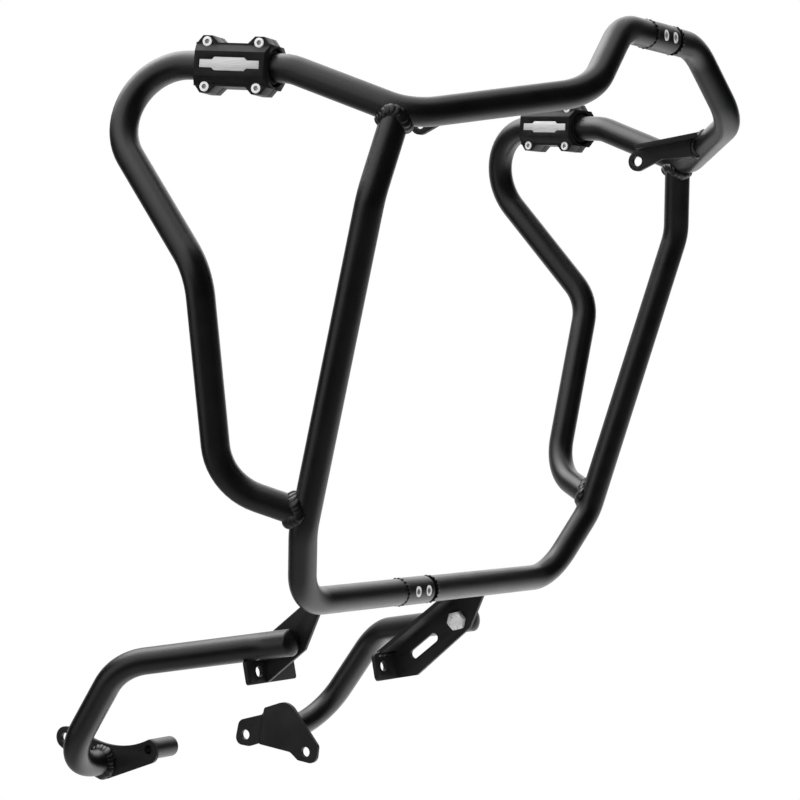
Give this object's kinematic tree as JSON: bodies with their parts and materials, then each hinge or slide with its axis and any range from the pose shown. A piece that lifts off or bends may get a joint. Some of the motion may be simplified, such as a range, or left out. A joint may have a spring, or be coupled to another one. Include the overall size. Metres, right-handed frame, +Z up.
{
  "type": "motorcycle crash bars",
  "caption": "Bent steel tube guard that wraps the front and sides of a motorcycle engine, bolted from two halves, with clamped side pads, folded brackets and rear plates.",
  "frame": {"origin": "on the axis of the bottom cross tube, on the bike's centre plane", "axes": "+X to the rider's left along the cross tube, +Y to the rear of the bike, +Z up"},
  "size_m": [0.6997, 0.5936, 0.7179],
  "materials": {
    "tube_black": "satin black powder coat",
    "joint_black": "satin black powder coat",
    "plate_black": "flat black powder coat",
    "pad_plastic": "moulded, fine grain",
    "badge_silver": "brushed, bare",
    "sleeve_rubber": "matt",
    "fastener_steel": "plain stainless"
  },
  "bodies": {
    "root": {"bottom_joint_screws": "fastener_steel", "left_bottom_plug": "joint_black", "left_bracket_bolt": "fastener_steel", "left_down_tube": "tube_black", "left_lower_bracket": "plate_black", "left_lower_tube": "tube_black", "left_pad_badge": "badge_silver", "left_pad_front_half": "pad_plastic", "left_pad_nuts": "fastener_steel", "left_pad_rear_half": "pad_plastic", "left_pad_screws": "fastener_steel", "left_pad_sleeve": "sleeve_rubber", "left_rear_plate": "plate_black", "left_top_plug": "joint_black", "left_tube_bush": "joint_black", "left_tube_cap": "tube_black", "left_upper_lug": "plate_black", "left_upper_tube": "tube_black", "right_bottom_plug": "joint_black", "right_bracket_bolt": "fastener_steel", "right_down_tube": "tube_black", "right_foot_plate": "plate_black", "right_lower_bracket": "plate_black", "right_lower_tube": "tube_black", "right_pad_badge": "badge_silver", "right_pad_front_half": "pad_plastic", "right_pad_nuts": "fastener_steel", "right_pad_rear_half": "pad_plastic", "right_pad_screws": "fastener_steel", "right_pad_sleeve": "sleeve_rubber", "right_rear_plate": "plate_black", "right_rear_spacer": "tube_black", "right_top_plug": "joint_black", "right_tube_bush": "joint_black", "right_tube_cap": "tube_black", "right_upper_lug": "plate_black", "right_upper_tube": "tube_black", "top_joint_screws": "fastener_steel"}
  },
  "joints": []
}
